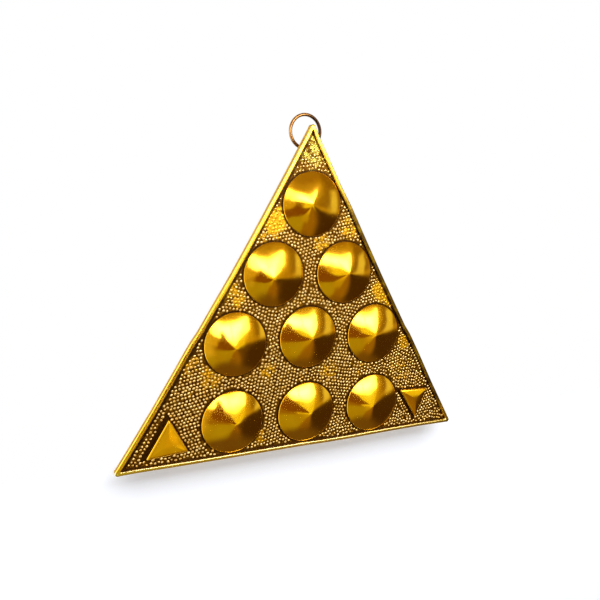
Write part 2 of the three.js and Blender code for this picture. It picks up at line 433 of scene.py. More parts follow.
# %% [markdown]
# The beads keep clear of the bosses and small triangles, and so does the light ground, since old
# polish dries dark all round them, and painted shade darkens the same strip. So one function tells
# how far a spot on the field is from the nearest of them, with plain sums that take numpy numbers as
# well as signals. The triangles' sharp corners come from the frame: they are where the three longest
# edges of each foot would meet.

# %% Distances on the field
# Beads and light ground stay this much further off each small triangle's left side, where the dark strip is
# partly painted shade.
LEFT_CLEAR = {"triangle_up_left": 1.1 * MM, "triangle_down_right": 0.5 * MM}
# The same off the border: at the right slope, where they come closer, the left slope, whose wider dark strip
# is partly painted shade, and the foot.
BORDER_CLEAR = (-0.3 * MM, 0.55 * MM, 0.0)


def foot_corners(node):
    """The three corners of a small triangle's foot, as (x, height over the foot), before rounding."""
    base = {(round(v.co.x, 7), round(v.co.z, 7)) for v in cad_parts[node].data.vertices
            if abs(v.co.y - FIELD_Y) < 0.01 * MM}
    points = [Vector((x, z - FOOT_Z)) for x, z in base]
    middle = sum(points, Vector((0, 0))) / len(points)
    ring = sorted(points, key=lambda p: math.atan2(p.y - middle.y, p.x - middle.x))
    edges = list(zip(ring, ring[1:] + ring[:1]))
    longest = sorted(edges, key=lambda edge: (edge[1] - edge[0]).length)[-3:]
    sides = [edge for edge in edges if edge in longest]
    corners = []
    for (a, b), (c, d) in zip(sides, sides[1:] + sides[:1]):
        first, second = b - a, d - c
        share = (c - a).cross(second) / first.cross(second)
        corners.append(a + first * share)
    return corners


def nearer(a, b):
    """The smaller of two distances, numbers or signals."""
    return a.least(b) if isinstance(a, Signal) else np.minimum(a, b)


def further(a, b):
    """The larger of two distances, numbers or signals."""
    return a.most(b) if isinstance(a, Signal) else np.maximum(a, b)


def mark_distance(x, z, node):
    """Distance outside a small triangle, negative inside it."""
    walls = []
    for side in range(3):
        start, _, inside, _ = edge_of(MARK_CORNERS[node], side)
        clear = LEFT_CLEAR[node] if inside.x > 0.5 else 0.0
        walls.append(-((x - start.x) * inside.x + (z - (FOOT_Z + start.y)) * inside.y + clear))
    return reduce(further, walls)


def free_distance(x, z):
    """Distance from a spot on the field to the nearest boss or small triangle."""
    found = nearer(*[mark_distance(x, z, node) for node in MARK_NODES])
    for node in BOSS_NODES:
        low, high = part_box(node)
        across, up = x - (low.x + high.x) / 2, z - (low.z + high.z) / 2
        found = nearer(found, (across * across + up * up) ** 0.5 - (high.x - low.x) / 2)
    return found


def beside(x, z, side):
    """A spot's share of the way along a side of the plaque, and its distance inside that side."""
    start, along, inside, length = edge_of(CORNERS, side)
    across, up = x - start.x, z - FOOT_Z - start.y
    return (across * along.x + up * along.y) / length, across * inside.x + up * inside.y


def border_distance(x, z):
    """Distance from a spot on the field to the border's inner wall, without its small kinks."""
    walls = []
    for side in range(3):
        share, depth = beside(x, z, side)
        bow = share * (1 - share) * (4 * BOWS[side])
        walls.append(depth - bow - STRIP_WIDTH - BORDER_CLEAR[side])
    return reduce(nearer, walls)


MARK_CORNERS = {node: foot_corners(node) for node in MARK_NODES}
for name, corners in MARK_CORNERS.items():
    print(name, "corners at x in mm:", [round(c.x / MM, 1) for c in corners])

# %% [markdown]
# Polish never reaches the ground between the beads, which is almost black, but hands and cloths
# have rubbed some places back to gold, and there the beads are nearly flat too. Noise alone would put
# them anywhere. So they are listed once, as round spots, which both the colours and the beads'
# heights read, and noise only breaks up their edges.

# %% Worn places
# Each is x and height over the foot of its middle, its reach, all in millimetres, and its wear.
WORN_SPOTS = (
    (0, 123, 12, 0.54), (-14.5, 93, 6.5, 1.0), (-20, 86, 4, 0.6), (19, 91, 5.5, 0.75), (6, 84.5, 5, 0.6),
    (36, 64, 6.5, 1.0), (40, 60, 4, 0.8), (49.5, 41, 4.5, 0.75), (47, 29, 7, 0.55), (11, 31, 5, 0.65),
    (-49, 40, 5.5, 0.7), (-40, 33.5, 6, 0.7), (-16.5, 34, 4, 0.7), (-19, 6.5, 4, 0.6), (-29, 63, 3.5, 0.8),
    (-34, 67, 5, 0.8), (-52, 26, 6, 0.35), (25, 31, 5, 0.35), (-8, 84, 4, 0.4),
)
# Where wear starts and where it is full, in reaches from the middle of a spot.
BEADS_WORN = (1.25, 0.5)
COLOUR_WORN = (1.5, 0.3)


def spots_worn(x, z):
    """How worn the field is at numpy places, 0 to 1, before its fine mottling."""
    worn = np.zeros_like(x)
    for spot_x, spot_z, reach, wear in WORN_SPOTS:
        apart = np.hypot(x - spot_x * MM, z - FOOT_Z - spot_z * MM) / (reach * MM)
        share = np.clip((BEADS_WORN[0] - apart) / (BEADS_WORN[0] - BEADS_WORN[1]), 0, 1)
        worn = np.maximum(worn, wear * share * share * (3 - 2 * share))
    return worn


def worn_signal(f):
    """The same wear as nodes. Noise decides which grains of a half worn place are gold already."""
    x, _, z = f.axes()
    spots = []
    for spot_x, spot_z, reach, wear in WORN_SPOTS:
        across, up = x - spot_x * MM, z - (FOOT_Z + spot_z * MM)
        apart = (across * across + up * up) ** 0.5 / (reach * MM)
        spots.append(apart.step(*COLOUR_WORN) * wear)
    grains = (f.cloud(1.7 * MM, 4.0, 0.7) - 0.5) * 2.6
    return (reduce(further, spots) + grains).step(0.45, 0.8)


print("worn places:", len(WORN_SPOTS))

# %% [markdown]
# The plate is cast brass. Its front is the dark ground between the beads, and its back has the
# plain sandy skin of a casting that was never polished. Two materials could do that, but one is
# enough, because a point's depth tells front from back.

# %% Plate brass
# Dried polish and painted shade share this brown-black, round what stands on the field and at rims.
PATINA_AND_SHADE = (0.030, 0.013, 0.005)
# How near to what stands on the field dried polish and painted shade start, and where they cover all.
DRIED_POLISH_AND_SHADE = (0.95 * MM, 0.4 * MM)
# Worn gold turns yellower between these heights over the foot.
YELLOW_ABOVE = (100 * MM, 114 * MM)


def field_brass():
    f = Finish("field_brass")
    x, y, z = f.axes()
    front = (y - FIELD_Y).step(0.25 * MM, 0.02 * MM)
    worn = worn_signal(f)
    grain = f.cloud(0.8 * MM, 3.0, 0.6)
    # The dark strip round bosses, triangles and border: dried polish and painted shade.
    polish_and_shade = nearer(free_distance(x, z), border_distance(x, z)).step(*DRIED_POLISH_AND_SHADE)
    dark = f.mix(grain.step(0.35, 0.7), (0.06, 0.02, 0.002), (0.20, 0.095, 0.009))
    gold = f.mix(grain.step(0.3, 0.7), (0.45, 0.23, 0.012), (0.82, 0.45, 0.03))
    gold = f.mix((z - FOOT_Z).step(*YELLOW_ABOVE), gold, (0.50, 0.44, 0.08))
    ground = f.mix(polish_and_shade * 0.9, f.mix(worn, dark, gold), PATINA_AND_SHADE)
    skin = f.mix(f.cloud(9 * MM, 4.0, 0.6).step(0.35, 0.7), (0.80, 0.50, 0.09), (0.58, 0.34, 0.06))
    colour = f.mix(front, skin, ground)
    sand = f.cloud(0.5 * MM, 3.0, 0.6)
    rough = 0.42 - front * worn * 0.16 + grain * 0.08
    relief = f.bump(grain + sand * (1 - front) * 0.5, 0.07 * MM)
    return f.wear(colour=colour, rough=rough, metal=1.0, normal=relief)


FIELD = field_brass()
print("made", FIELD.name)

# %% [markdown]
# The plate is flat, with a broken edge at the back. Its outline could be filled and extruded, but
# three rows laid as one grid, the front edge, the back edge and the broken corner, make all walls at
# once. Merging closes the rows, and the two open faces are filled.

# %% Plate
PLATE_CHAMFER = 0.25 * MM


def on_plaque(points, y):
    """Points of an outline as places, at this depth."""
    return [(p.x, y, FOOT_Z + p.y) for p in points]


def plate():
    edge = outline(0, CORNER_RADIUS, gap=0)
    broken = outline(PLATE_CHAMFER, CORNER_RADIUS - PLATE_CHAMFER, gap=0)
    piece = laid_grid([on_plaque(edge, FIELD_Y), on_plaque(edge, PLATE_BACK_Y - PLATE_CHAMFER),
                       on_plaque(broken, PLATE_BACK_Y)])
    close_up(piece)
    settle(piece, "plate_cast", FIELD, "plaque")
    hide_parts("base_plate")
    return piece


plate_piece = plate()
print("plate faces:", len(plate_piece.data.polygons))

# %% [markdown]
# The border has the brass of the bosses with a duller, handled polish. The strip along the foot is
# paler, the one on the right slope is dark brown, and dried polish and painted shade lie brown-black
# in the corner where the inner wall meets the field. Separate materials would have hard edges there,
# so soft steps along X and Z shade one finish.

# %% Border brass
PALE_FOOT = (2.4 * MM, 1.4 * MM)
DARK_TO_THE_RIGHT = (8 * MM, 22 * MM)
DARK_ABOVE = (5 * MM, 14 * MM)


def border_brass():
    f = Finish("border_brass")
    x, y, z = f.axes()
    haze = f.cloud(5 * MM, 3.0)
    fine = f.cloud(0.9 * MM, 3.0, 0.6)
    inner = f.mark("row").step(0.75, 0.85)
    # Dried polish and painted shade in the corner where the inner wall meets the field.
    polish_and_shade = (abs(y - FIELD_Y) + fine * 0.2 * MM).step(0.5 * MM, 0.2 * MM) * inner
    foot = (z - FOOT_Z).step(*PALE_FOOT)
    # The right slope's strip is dark brown right of and above these steps.
    dark_right_slope = x.step(*DARK_TO_THE_RIGHT) * (z - FOOT_Z).step(*DARK_ABOVE)
    colour = f.mix(haze.step(0.35, 0.7), (0.92, 0.62, 0.10), (0.84, 0.52, 0.06))
    colour = f.mix(foot, colour, (0.80, 0.66, 0.34))
    colour = f.mix(dark_right_slope * (0.7 + haze.step(0.35, 0.6) * 0.25), colour, (0.09, 0.050, 0.022))
    colour = f.mix(polish_and_shade * 0.93, colour, PATINA_AND_SHADE)
    rough = 0.2 + haze.step(0.35, 0.8) * 0.08 + polish_and_shade * 0.3
    waves = f.bump(f.cloud(5 * MM, 1.0), 0.05 * MM)
    return f.wear(colour=colour, rough=rough, metal=1.0, normal=waves)


BORDER = border_brass()
print("made", BORDER.name)

# %% [markdown]
# The border is one strip of wire, bent round the plate and open by a hair at its joint. Its section
# has two walls, round shoulders and a flat top that leans a little outwards, hammered down from
# inside. A bevelled curve would fold over itself at the sharp corners, so the section is laid as a
# grid: each of its points lies on the way from the outer to the inner outline, mitres and all.

# %% Border strip
STRIP_HEIGHT = strip_high.y - strip_low.y
STRIP_INNER_RADIUS = 0.4 * MM
STRIP_SHOULDER = 0.4 * MM
SHOULDER_CUTS = 5
# How much the top leans out on the left and on the right, and where one turns into the other.
STRIP_LEAN = (0.13 * MM, 0.07 * MM)
LEAN_CHANGES = (-20 * MM, 20 * MM)
STRIP_SWAY = 0.04 * MM
SWAY_WAVES = (7, 12, 19, 31)


def strip_section():
    """Shares of the way from the outer to the inner side, with heights over the field."""
    wall = STRIP_HEIGHT - STRIP_SHOULDER
    outer, inner = [(0.0, 0.0)], [(1.0, 0.0)]
    for i in range(SHOULDER_CUTS + 1):
        angle = math.pi / 2 * i / SHOULDER_CUTS
        across = STRIP_SHOULDER * (1 - math.cos(angle)) / STRIP_WIDTH
        rise = wall + STRIP_SHOULDER * math.sin(angle)
        outer.append((across, rise))
        inner.append((1 - across, rise))
    return [*outer, *reversed(inner), (0.0, 0.0)]


def slow_waves(count, waves, amount):
    """A smooth random line of so many values, made of a few sine waves."""
    at = np.linspace(0, 2 * math.pi, count)
    line = sum(rng.uniform(-1, 1) * np.sin(w * at + rng.uniform(0, 2 * math.pi)) for w in waves)
    return amount * line / np.abs(line).max()


def border_strip():
    outer = np.array([(p.x, p.y) for p in outline(0, CORNER_RADIUS)])
    inner = np.array([(p.x, p.y) for p in outline(STRIP_WIDTH, STRIP_INNER_RADIUS)])
    sway = slow_waves(len(outer), SWAY_WAVES, STRIP_SWAY)
    lean = np.interp(outer[:, 0], LEAN_CHANGES, STRIP_LEAN)
    rows = []
    for share, height in strip_section():
        spots = outer + (inner - outer) * share
        tilt = (share - 0.5) * sway - (1 - share) * lean
        lift = np.clip(height + tilt * (height > 0), 0, STRIP_HEIGHT)
        rows.append(np.stack([spots[:, 0], FIELD_Y - lift, FOOT_Z + spots[:, 1]], axis=1))
    piece = laid_grid(rows)
    close_up(piece)
    settle(piece, "border_strip_bent", BORDER, "plaque", smooth=50)
    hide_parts("border_strip")
    return piece


strip = border_strip()
print("border strip points:", len(strip.data.vertices))

# %% [markdown]
# Polished brass is a metal, so its colour only tints what it mirrors, and the studio further down
# does most for its looks. What is left for the finish is faint: a haze from buffing, a few fine
# scuffs in its roughness, and brown dried polish with painted shade where each rim meets the plate.

# %% Polished brass
BRASS = (0.91, 0.55, 0.04)


def polished_brass():
    f = Finish("polished_brass")
    haze = f.cloud(6 * MM, 3.0)
    fine = f.cloud(0.5 * MM, 4.0, 0.65)
    _, y, _ = f.axes()
    # Brown where each rim meets the plate: dried polish and painted shade.
    polish_and_shade = (y - FIELD_Y + f.cloud(1.2 * MM) * 0.2 * MM).step(-0.26 * MM, -0.02 * MM)
    colour = f.mix(haze.step(0.35, 0.7), BRASS, (0.87, 0.49, 0.03))
    colour = f.mix(polish_and_shade * 0.92, colour, PATINA_AND_SHADE)
    rough = 0.11 + haze.step(0.4, 0.8) * 0.05 + fine.step(0.6, 0.8) * 0.04 + polish_and_shade * 0.35
    waves = f.bump(f.cloud(6 * MM, 1.0), 0.08 * MM)
    return f.wear(colour=colour, rough=rough, metal=1.0, normal=waves)


POLISHED = polished_brass()
print("made", POLISHED.name)

# %% [markdown]
# Each boss is a shallow cone that swells into a dome at its edge and ends in a small upright rim. A
# cone primitive could be bevelled and bent, but half a section spun round its axis gives the curve
# at once. The real ones were pressed by hand, so most tips stand a little off centre and each flank
# is faintly wavy in its own way, which makes the nine mirror pictures differ.

# %% Bosses
BOSS_STEPS = 112
FLANK_POINTS = 22
TIP_ROUNDNESS = 0.06
FLANK_BULGE = 0.28
RIM_STEP = 0.7 * MM
RIM_WALL = 0.8 * MM
SHOULDER = 0.35 * MM
SHOULDER_SWEEP = math.radians(75)
SHOULDER_POINTS = 4
TIP_CROWDING = 1.5
WAVE = 0.024 * MM
LOBES = (2, 3, 5)
# How far each tip stands off its boss's centre, across and up, in millimetres.
TIP_OFFSETS = {
    "boss_row1": (-2.0, 0.0), "boss_row2_left": (-1.8, -1.2), "boss_row3_left": (-1.4, -0.8),
    "boss_row3_right": (-1.3, -0.3), "boss_row4_right": (-2.0, -0.6),
}


def flank_height(share, height):
    """Height over the field at a share of the way from the tip out to the shoulder."""
    blunt = math.hypot(share, TIP_ROUNDNESS) - TIP_ROUNDNESS
    full = math.hypot(1, TIP_ROUNDNESS) - TIP_ROUNDNESS
    fall = (1 - FLANK_BULGE) * blunt / full + FLANK_BULGE * share ** 3
    return height - (height - RIM_STEP) * fall


def boss_section(radius, height):
    """Radius and height of the section's points, from the rim's foot up to the tip."""
    points = [(radius - RIM_WALL, 0.0), (radius, 0.0)]
    for i in range(SHOULDER_POINTS):
        angle = SHOULDER_SWEEP * i / (SHOULDER_POINTS - 1)
        points.append((radius - SHOULDER + SHOULDER * math.cos(angle),
                       RIM_STEP - SHOULDER + SHOULDER * math.sin(angle)))
    for i in reversed(range(FLANK_POINTS)):
        share = (i / FLANK_POINTS) ** TIP_CROWDING
        points.append((share * (radius - SHOULDER), flank_height(share, height)))
    return points


def hand_pressed(piece, centre, radius, offset):
    """Leans the tip over by its offset, and gives the flank a few shallow lobes."""
    places = points_of(piece)
    across = np.hypot(places[:, 0] - centre.x, places[:, 2] - centre.z) / radius
    around = np.arctan2(places[:, 2] - centre.z, places[:, 0] - centre.x)
    raised = places[:, 1] < FIELD_Y - RIM_STEP * 0.9
    lean = np.clip(1 - across ** 2, 0, 1) ** 2 * raised
    swell = sum(rng.uniform(0.3, 1.0) / lobes * np.sin(lobes * around + rng.uniform(0, 2 * math.pi))
                for lobes in LOBES)
    places[:, 0] += offset[0] * MM * lean
    places[:, 2] += offset[1] * MM * lean
    places[:, 1] += WAVE * swell * np.sin(np.pi * np.clip(across, 0, 1)) * raised
    move_points(piece, places)


def boss(node):
    low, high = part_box(node)
    centre = (low + high) / 2
    radius = (high.x - low.x) / 2
    section = boss_section(radius, high.y - low.y)
    points = [Vector((centre.x + r, FIELD_Y - h, centre.z)) for r, h in section]
    piece = spun(points, BOSS_STEPS, 2 * math.pi, (centre.x, 0, centre.z), (0, 1, 0))
    hand_pressed(piece, centre, radius, TIP_OFFSETS.get(node, (0.0, 0.0)))
    settle(piece, node + "_polished", POLISHED, "plaque")
    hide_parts(node)
    return piece


boss_pieces = [boss(node) for node in BOSS_NODES]
print("bosses:", len(boss_pieces), "points each:", len(boss_pieces[0].data.vertices))

# %% [markdown]
# The two small triangles were filed by hand: the left one has a flat top inside a bevel, and the
# right one is pillowed by much filing. A bevel modifier would round both alike. So each is laid from
# rows of the same triangle, every row a little further in and higher than the one before.

# %% Small raised triangles
MARK_CORNER = 0.35 * MM
MARK_LEAST_CORNER = 0.03 * MM
# How far in and how high each row lies, in millimetres.
FLAT_TOP = ((0, 0), (0, 1.3), (0.05, 1.42), (0.15, 1.52), (0.55, 1.8), (0.7, 1.87), (0.9, 1.9), (3.9, 1.9))
PILLOWED_TOP = ((0, 0), (0, 1.2), (0.08, 1.36), (0.25, 1.5), (0.6, 1.63), (1.0, 1.71), (1.5, 1.78),
                (2.1, 1.83), (2.9, 1.88), (3.7, 1.9))
MARK_TOPS = {"triangle_up_left": FLAT_TOP, "triangle_down_right": PILLOWED_TOP}


def small_triangle(node):
    rows = []
    for inset, height in MARK_TOPS[node]:
        radius = max(MARK_CORNER - inset * MM, MARK_LEAST_CORNER)
        ring = [p for i in range(3) for p in corner_arc(MARK_CORNERS[node], i, inset * MM, radius)]
        rows.append(on_plaque([*ring, ring[0]], FIELD_Y - height * MM))
    piece = laid_grid(rows)
    close_up(piece)
    settle(piece, node + "_filed", POLISHED, "plaque", smooth=30)
    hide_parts(node)
    return piece


mark_pieces = [small_triangle(node) for node in MARK_NODES]
print("small triangles:", [len(piece.data.polygons) for piece in mark_pieces])

# %% [markdown]
# The beads are punched one by one, in rows that follow the bosses and the border and then close up
# towards the middle of each gap. A plain lattice would cut across those rows, so the same growth is
# worked out on a fine grid: each new bead takes the tightest free spot, the one nearest to two
# things already there. A little jitter makes it handwork.

# %% Where the beads go
BEAD_PITCH = 1.42 * MM
WALL_TO_BEAD = 0.95 * MM
BEAD_JITTER = 0.085 * MM
FAR_OFF = 4 * BEAD_PITCH
# How much the second nearest thing counts beside the nearest.
SECOND_COUNTS = 0.5
GRID = 0.14 * MM  # the mesh of places that are tried


def room_around(x, z):
    """Distance from a spot on the field to the nearest thing a bead must stay clear of."""
    room = free_distance(x, z)
    for side in range(3):
        share, depth = beside(x, z, side)
        edge = drawn_in(side, np.clip(share, 0, 1)) + STRIP_WIDTH + BORDER_CLEAR[side]
        room = np.minimum(room, depth - edge)
    return room


def bead_places():
    """Free spots, taken one after another. The grid keeps each spot's two nearest distances."""
    xs = np.arange(plate_low.x, plate_high.x, GRID)
    zs = np.arange(plate_low.z, plate_high.z, GRID)
    x, z = np.meshgrid(xs, zs)
    nearest = room_around(x, z) + BEAD_PITCH - WALL_TO_BEAD
    second = np.full_like(nearest, FAR_OFF)
    taken = []
    window = int(FAR_OFF / GRID) + 1
    for _ in range(x.size):
        score = np.where(nearest >= BEAD_PITCH, nearest + SECOND_COUNTS * second, np.inf)
        spot = int(np.argmin(score))
        row, column = divmod(spot, len(xs))
        if not np.isfinite(score[row, column]):
            break
        taken.append((xs[column], zs[row]))
        rows = slice(max(0, row - window), row + window + 1)
        columns = slice(max(0, column - window), column + window + 1)
        gap = np.hypot(x[rows, columns] - xs[column], z[rows, columns] - zs[row])
        near, far = nearest[rows, columns], second[rows, columns]
        second[rows, columns] = np.minimum(far, np.maximum(near, gap))
        nearest[rows, columns] = np.minimum(near, gap)
    return np.array(taken)


bead_spots = bead_places()
bead_spots += rng.normal(0, BEAD_JITTER, bead_spots.shape)
print("beads:", len(bead_spots))

# %% [markdown]
# The beads' crowns are rubbed pale and bright, and made paler still as a painted highlight, and their
# sides keep the dark of the ground. In the worn places they are gold, but a dark ring of old polish
# and painted shade stays round each foot. The beads differ in height, so depth can't tell crown from
# side. Every point carries a mark of how near the crown it is, and another gives each bead its own
# tint.

# %% Bead brass
def bead_brass():
    f = Finish("bead_brass")
    crown = f.mark("crown")
    tint = f.mark("tint")
    worn = worn_signal(f)
    _, _, z = f.axes()
    # Pale crowns: rubbed brass, lightened further as a painted highlight.
    rubbed_and_highlit = f.mix(tint, (0.90, 0.71, 0.40), (0.72, 0.48, 0.16))
    side = f.mix(crown.step(0.1, 0.45), (0.10, 0.040, 0.004), (0.42, 0.23, 0.035))
    colour = f.mix(crown.step(0.35, 0.72), side, rubbed_and_highlit)
    gold = f.mix((z - FOOT_Z).step(*YELLOW_ABOVE), (0.82, 0.45, 0.03), (0.62, 0.54, 0.13))
    # In worn places only the crowns turn fully gold, so the dark ring left at each foot is old polish and
    # painted shade.
    colour = f.mix(worn * (0.3 + crown.step(0.3, 0.75) * 0.7), colour, gold)
    return f.wear(colour=colour, rough=0.36, metal=1.0)


BEAD = bead_brass()
print("made", BEAD.name)

# %% [markdown]
# One bead is modelled, a low dome with a few dozen faces, closed underneath. Every bead is a copy of
# it, turned and sized a little differently and lowered where the field is worn. All of them are one
# piece, because thousands of objects would slow everything down.

# %% Beads
BEAD_RADIUS = 0.62 * MM
BEAD_HEIGHT = 0.46 * MM
# Least and greatest shares of that radius and height, and how far from round a bead is.
RADIUS_SHARES = (0.8, 1.08)
HEIGHT_SHARES = (0.85, 1.1)
SQUEEZES = (0.9, 1.1)
WORN_FLATTENING = 0.72
BEAD_SINK = 0.03 * MM
BEAD_SKIRT = 0.02


def one_bead():
    """A half ball of radius 1 that bulges towards -Y, with a short skirt and its flat side closed."""
    clear_selection()
    bpy.ops.mesh.primitive_uv_sphere_add(segments=8, ring_count=6, radius=1, rotation=(math.pi / 2, 0, 0))
    bpy.ops.object.transform_apply(rotation=True)
    bpy.ops.object.mode_set(mode="EDIT")
    bpy.ops.mesh.select_all(action="SELECT")
    bpy.ops.mesh.bisect(plane_co=(0, BEAD_SKIRT, 0), plane_no=(0, 1, 0), clear_outer=True, use_fill=True)
    bpy.ops.object.mode_set(mode="OBJECT")
    return bpy.context.object


def bead_field(spots):
    """One mesh with a copy of the bead at each spot, given as rows of x and z."""
    pattern = one_bead()
    shape = points_of(pattern)
    faces = [tuple(p.vertices) for p in pattern.data.polygons]
    bpy.data.objects.remove(pattern)
    count, step = len(spots), len(shape)
    worn = spots_worn(spots[:, 0], spots[:, 1])
    size = BEAD_RADIUS * rng.uniform(*RADIUS_SHARES, count)
    tall = BEAD_HEIGHT * rng.uniform(*HEIGHT_SHARES, count) * (1 - WORN_FLATTENING * worn)
    angle = rng.uniform(0, 2 * math.pi, count)
    squeeze = rng.uniform(*SQUEEZES, count)
    u = shape[None, :, 0] * (size * squeeze)[:, None]
    w = shape[None, :, 2] * (size / squeeze)[:, None]
    cos, sin = np.cos(angle)[:, None], np.sin(angle)[:, None]
    places = np.stack([
        spots[:, 0, None] + u * cos - w * sin,
        FIELD_Y + BEAD_SINK + shape[None, :, 1] * tall[:, None],
        spots[:, 1, None] + u * sin + w * cos,
    ], axis=2).reshape(-1, 3)
    copies = [tuple(i + n * step for i in face) for n in range(count) for face in faces]
    piece = meshed("bead_field", places.tolist(), copies)
    note(piece, "crown", np.tile(np.clip(-shape[:, 1], 0, 1), count))
    note(piece, "tint", np.repeat(rng.uniform(0, 1, count), step))
    return settle(piece, "bead_field", BEAD, "plaque", smooth=80)


beads = bead_field(bead_spots)
print("bead field faces:", len(beads.data.polygons))

# %% [markdown]
# The ring is drawn wire, brown all over, with painted shade that makes it darkest at its right. One
# brown would look painted, so soft noise mixes two, a step along X and Z adds the painted shade on
# the right side, and finer noise stands for the marks of drawing.

# %% Ring wire
def ring_wire():
    f = Finish("ring_wire")
    haze = f.cloud(3 * MM, 3.0)
    draw = f.cloud(0.35 * MM, 3.0, 0.6)
    x, _, z = f.axes()
    # Painted shade, darkest towards the ring's right.
    painted_shade_right = (x - z * 0.4 + haze * 3 * MM).step(1 * MM, 5 * MM)
    colour = f.mix(haze.step(0.35, 0.65), (0.40, 0.20, 0.07), (0.20, 0.09, 0.03))
    colour = f.mix(painted_shade_right, colour, (0.05, 0.025, 0.015))
    rough = 0.2 + haze * 0.14
    return f.wear(colour=colour, rough=rough, metal=1.0, normal=f.bump(draw, 0.01 * MM))


WIRE = ring_wire()
print("made", WIRE.name)

# %% [markdown]
# The hanging ring is one turn of wire, bent until its cut ends almost meet. A torus primitive has no
# gap, so a circle, the wire's section, is spun round the ring's middle and stops a hair short of a
# full turn. The two cut ends are then filled.

# %% Hanging ring
RING_WIRE_RADIUS = 0.65 * MM
RING_BUTT_GAP = 0.35 * MM
RING_BUTT_ANGLE = math.radians(-62)
RING_STEPS = 96
RING_WIRE_SIDES = 20


def hanging_ring():
    low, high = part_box("hanging_ring")
    middle_radius = (high.z - low.z) / 2 - RING_WIRE_RADIUS
    centre = Vector(((low.x + high.x) / 2, (low.y + high.y) / 2, high.z - RING_WIRE_RADIUS - middle_radius))
    half_gap = RING_BUTT_GAP / 2 / middle_radius
    start = RING_BUTT_ANGLE + half_gap
    outwards = Vector((math.cos(start), 0, math.sin(start)))
    section = []
    for i in range(RING_WIRE_SIDES + 1):
        angle = 2 * math.pi * i / RING_WIRE_SIDES
        reach = middle_radius + RING_WIRE_RADIUS * math.cos(angle)
        section.append(centre + outwards * reach + Vector((0, RING_WIRE_RADIUS * math.sin(angle), 0)))
    piece = spun(section, RING_STEPS, 2 * (math.pi - half_gap), centre, (0, -1, 0))
    settle(piece, "hanging_ring_drawn", WIRE, "ring", smooth=50)
    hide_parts("hanging_ring")
    return piece


ring_piece = hanging_ring()
print("ring points:", len(ring_piece.data.vertices))

# %% [markdown]
# The lug is a drilled ear on the back that holds the ring. Its shape in the frame is right already,
# so it isn't modelled again and only takes the border's brass.

# %% Lug
lug_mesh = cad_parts["hanging_lug"].data
lug_mesh.materials.clear()
lug_mesh.materials.append(BORDER)
print("lug finished")

# %% [markdown]
# A flat floor would show an edge behind the plaque and a pale stripe in every boss. So the floor is
# a block that starts just behind the foot, takes its soft shadow and falls away. Behind it is the
# world, which is white to the camera and to mirror rays through Light Path, as the floor partly is,
# so that no extra light falls on the plaque.

# %% Floor and world
FLOOR_FRONT_Y = 3 * MM
FLOOR_DROP = 0.5 * MM
FLOOR_SIZE = Vector((4.0, 0.9, 0.6))
FLOOR_FALL = 0.52
FLOOR_GLOW = 0.29
WORLD_LIGHT = 0.3


def pale_floor():
    top = FOOT_Z - FLOOR_DROP
    spot = (0, FLOOR_FRONT_Y + FLOOR_SIZE.y / 2, top - FLOOR_SIZE.z / 2)
    bpy.ops.mesh.primitive_cube_add(size=1, location=spot, scale=FLOOR_SIZE)
    bpy.ops.object.transform_apply(location=True, rotation=True, scale=True)
    block = bpy.context.object
    block.name = "pale_floor"
    places = points_of(block)
    behind_top = (places[:, 1] > spot[1]) & (places[:, 2] > spot[2])
    places[behind_top, 2] -= FLOOR_FALL
    move_points(block, places)
    f = Finish("pale_floor")
    f.wear(colour=(0.825, 0.85, 0.92), rough=0.9)
    f.shader.inputs["Emission Color"].default_value = (1, 1, 1, 1)
    f.feed(f.shader.inputs["Emission Strength"], f.seen_directly() * FLOOR_GLOW)
    block.data.materials.append(f.material)


pale_floor()
world = bpy.data.worlds.new("studio")
bpy.context.scene.world = world
world.use_nodes = True
sky = Wiring(world.node_tree)
background = world.node_tree.nodes["Background"]
background.inputs["Color"].default_value = (1, 1, 1, 1)
sky.feed(background.inputs["Strength"], WORLD_LIGHT + sky.seen_directly() * (1 - WORLD_LIGHT))
bpy.context.scene.view_settings.view_transform = "Standard"
print("floor and world are ready")

# %% [markdown]
# Polished metal has hardly a colour of its own: it shows what stands round it. A room could be
# modelled, but only directions matter, so the studio is a dim, warm dome with bright windows painted
# on it, and a few cards before it. Places are a turn to the right and a rise, in degrees, from the
# plaque. Dome and cards meet only mirror rays. A plain white lamp gives the light and the shadow.

# %% Places in the studio
DOME_RADIUS = 1.5


def spot_at(turn, rise, distance):
    """The place that lies so far to the right of straight ahead and so far up, in degrees."""
    turn, rise = math.radians(turn), math.radians(rise)
    flat = math.cos(rise)
    return CENTRE + distance * Vector((flat * math.sin(turn), -flat * math.cos(turn), math.sin(rise)))


def only_mirrored(thing):
    """Hides a thing from all but mirror rays."""
    for ray in ("camera", "diffuse", "transmission", "volume_scatter", "shadow"):
        setattr(thing, "visible_" + ray, False)


def card(name, points, colour):
    """A flat glowing card through these points, seen only in mirrors."""
    piece = meshed(name, [tuple(p) for p in points], [range(len(points))])
    piece.data.materials.append(Finish(name).glow(colour))
    only_mirrored(piece)


print("studio helpers ready")

# %% [markdown]
# The dome's cloth is painted by direction, because lamps have hard outlines. It starts as warm gold
# that dims upwards, and each entry of a list lays one more soft patch over what is there: first the
# dim cloth, then the windows, and last what stands behind and beside the plaque.

